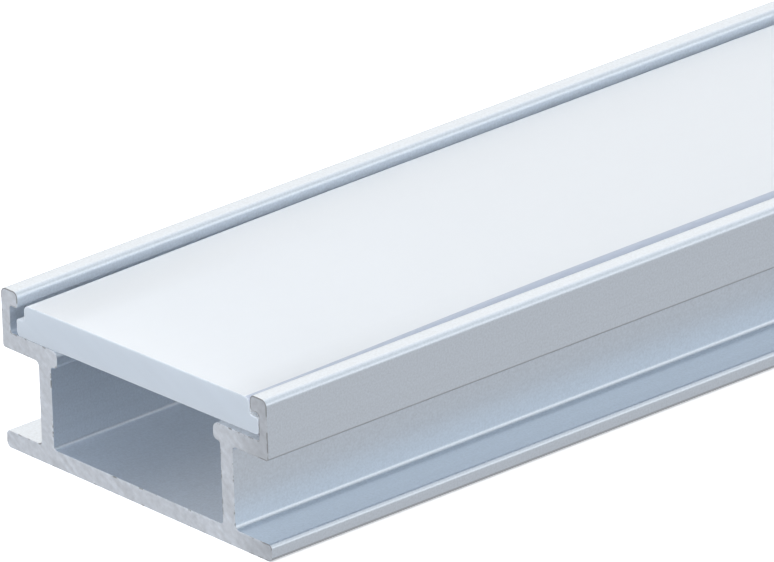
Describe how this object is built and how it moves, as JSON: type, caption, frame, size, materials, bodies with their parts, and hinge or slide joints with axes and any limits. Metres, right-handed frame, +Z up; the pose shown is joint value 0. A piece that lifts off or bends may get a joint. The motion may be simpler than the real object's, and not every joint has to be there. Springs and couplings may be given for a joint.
{
  "type": "led strip floor profile",
  "caption": "Low aluminium channel extrusion for an LED strip, with wide base flanges, upright lips and a flush push-in opal diffuser cover.",
  "frame": {"origin": "centre of the underside, halfway along the bar, on the surface that the bar lies on", "axes": "+X across the bar, +Y along the bar, +Z up, from the flat underside towards the cover"},
  "size_m": [0.026, 1, 0.0112],
  "materials": {
    "anodised_aluminium": "clear anodised, satin, with fine lines along the bar; saw-cut ends",
    "opal_plastic": "smooth opal diffuser, slightly glossy; saw-cut ends"
  },
  "bodies": {
    "root": {"profile_body": "anodised_aluminium", "diffuser_cover": "opal_plastic"}
  },
  "joints": []
}
